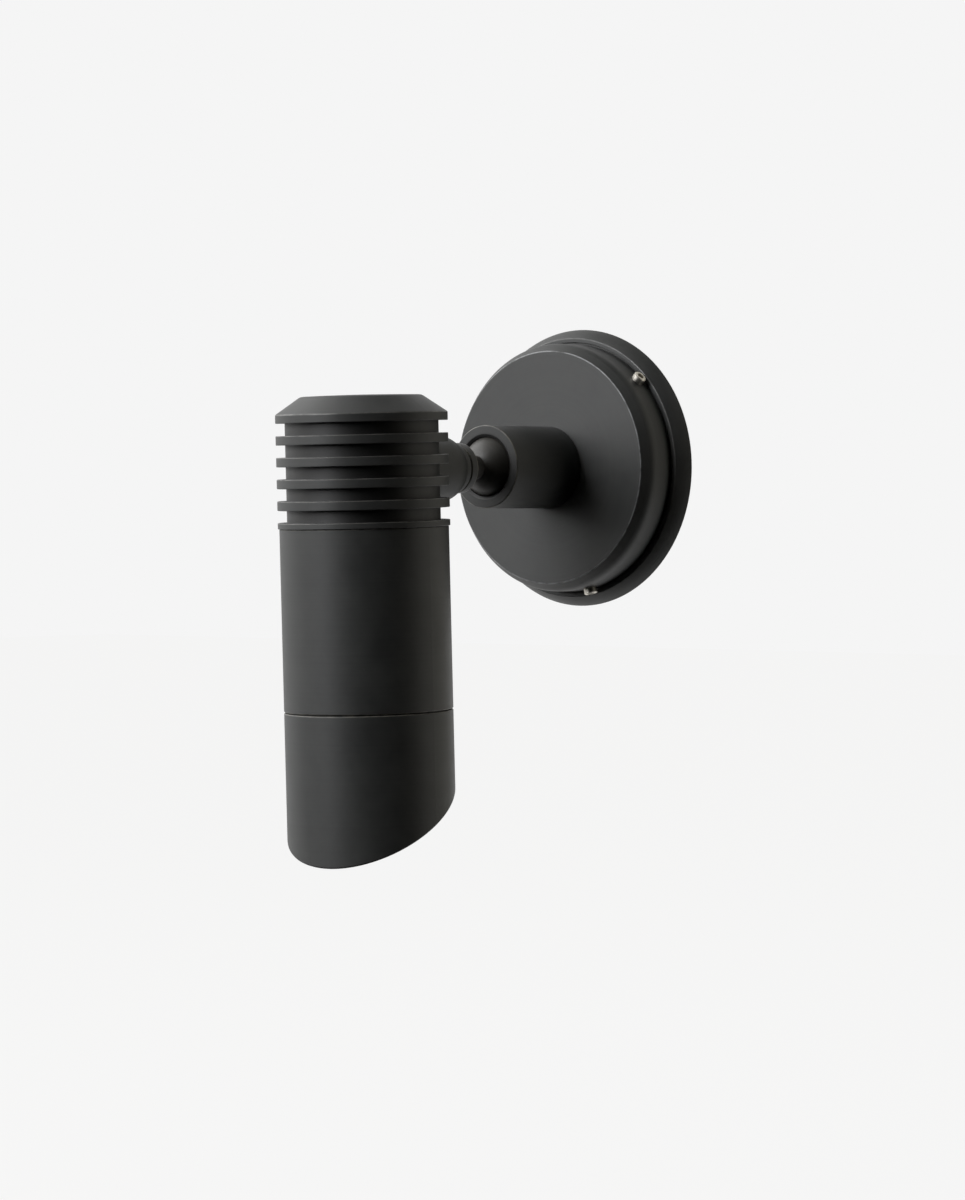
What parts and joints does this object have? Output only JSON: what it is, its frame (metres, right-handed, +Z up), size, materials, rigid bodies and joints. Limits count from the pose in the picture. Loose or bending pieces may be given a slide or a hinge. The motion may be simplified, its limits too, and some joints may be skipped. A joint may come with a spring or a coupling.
{
  "type": "pivoting spotlight wall light",
  "caption": "Wall spotlight with a round canopy, a ball joint on a short tube, a finned cylindrical head hung from it and a slant-cut anti-glare cowl.",
  "frame": {"origin": "centre of the base plate's back face, on the wall", "axes": "+Y into the wall, out of the plate's back face; +Z up, along the hanging head; +X to the right for someone facing the wall"},
  "size_m": [0.102, 0.1539, 0.1897],
  "materials": {
    "charcoal_metal": "satin anodised, charcoal",
    "tube_metal": "satin anodised, near-black",
    "ball_metal": "polished, black-plated",
    "bright_steel": "bright turned",
    "spring_steel": "satin",
    "brass": "turned",
    "acetal": "smooth",
    "block_plastic": "moulded",
    "sleeve": null,
    "seal_rubber": "matt",
    "grommet_rubber": "matt",
    "ceramic": "glazed ceramic",
    "lamp_glass": "metallised glass",
    "burner_glass": "clear quartz",
    "lens_glass": "clear toughened glass"
  },
  "bodies": {
    "canopy": {"base_plate": "charcoal_metal", "wall_seal": "seal_rubber", "cover_seal": "seal_rubber", "cover": "charcoal_metal", "cover_screws": "bright_steel", "cable_grommet": "grommet_rubber", "terminal_block": "block_plastic", "terminal_screws": "brass", "block_screws": "bright_steel", "earth_screw": "brass", "ball_tube": "tube_metal", "tube_nut": "brass", "disc_springs": "spring_steel", "spring_retainer": "brass"},
    "seats": {"front_seat": "acetal", "rear_seat": "acetal"},
    "stud": {"ball_stud": "ball_metal", "lead_sleeve": "sleeve", "stud_nut": "bright_steel"},
    "collar": {"lock_collar": "charcoal_metal"},
    "head": {"hub": "charcoal_metal", "hub_seal": "seal_rubber", "heat_sink": "charcoal_metal", "sink_seal": "seal_rubber", "barrel": "charcoal_metal", "cowl_seal": "seal_rubber", "holder_plate": "spring_steel", "plate_screws": "bright_steel", "holder_posts": "spring_steel", "lamp_holder": "ceramic", "lamp_base": "ceramic", "lamp_pins": "bright_steel", "lamp_reflector": "lamp_glass", "lamp_burner": "burner_glass", "lamp_window": "lamp_glass"},
    "cowl": {"cowl": "charcoal_metal", "lens_gasket": "seal_rubber", "lens_glass": "lens_glass"}
  },
  "joints": [
    {"name": "ball_swivel", "type": "hinge", "parent": "canopy", "child": "seats", "pos_m": [0, -0.05071, 0], "axis": [0, 1, 0], "range_deg": [-170, 170]},
    {"name": "ball_tilt", "type": "hinge", "parent": "seats", "child": "stud", "pos_m": [0, -0.05071, 0], "axis": [1, 0, 0], "range_deg": [-31.75, 28.25]},
    {"name": "collar_turn", "type": "hinge", "parent": "stud", "child": "collar", "pos_m": [0, -0.071, -0.00062], "axis": [0, -0.9995, -0.0305], "range_deg": [0, 60]},
    {"name": "head_spin", "type": "hinge", "parent": "stud", "child": "head", "pos_m": [0, -0.0837, -0.00101], "axis": [0, -0.9995, -0.0305], "range_deg": [-170, 170]},
    {"name": "cowl_turn", "type": "hinge", "parent": "head", "child": "cowl", "pos_m": [0.00053, -0.12067, -0.08918], "axis": [0.0061, 0.0305, -0.9995], "continuous": true}
  ]
}
